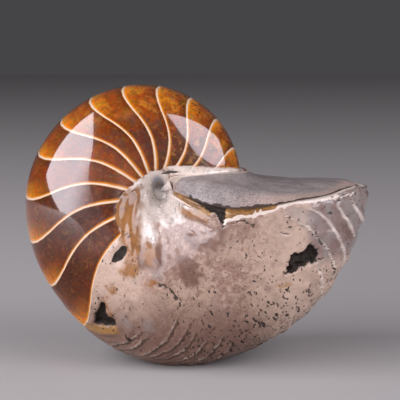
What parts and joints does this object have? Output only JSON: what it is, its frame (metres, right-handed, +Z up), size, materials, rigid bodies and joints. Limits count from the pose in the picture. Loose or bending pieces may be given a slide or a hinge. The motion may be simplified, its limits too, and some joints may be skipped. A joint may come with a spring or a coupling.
{
  "type": "fossil nautilus shell",
  "caption": "Polished fossil nautilus that stands on its keel: a coiled, chambered shell with a wide living chamber filled level with grey stone.",
  "frame": {"origin": "centre of the flat ground on the keel, on the surface the fossil stands on", "axes": "+X from the coil towards the tip of the lip, +Z up, -Y towards the flank with the larger damage"},
  "size_m": [0.1507, 0.0849, 0.1224],
  "materials": {
    "shell": "polished",
    "stone_fill": "honed"
  },
  "bodies": {
    "root": {"shell": "shell", "stone_fill": "stone_fill"}
  },
  "joints": []
}
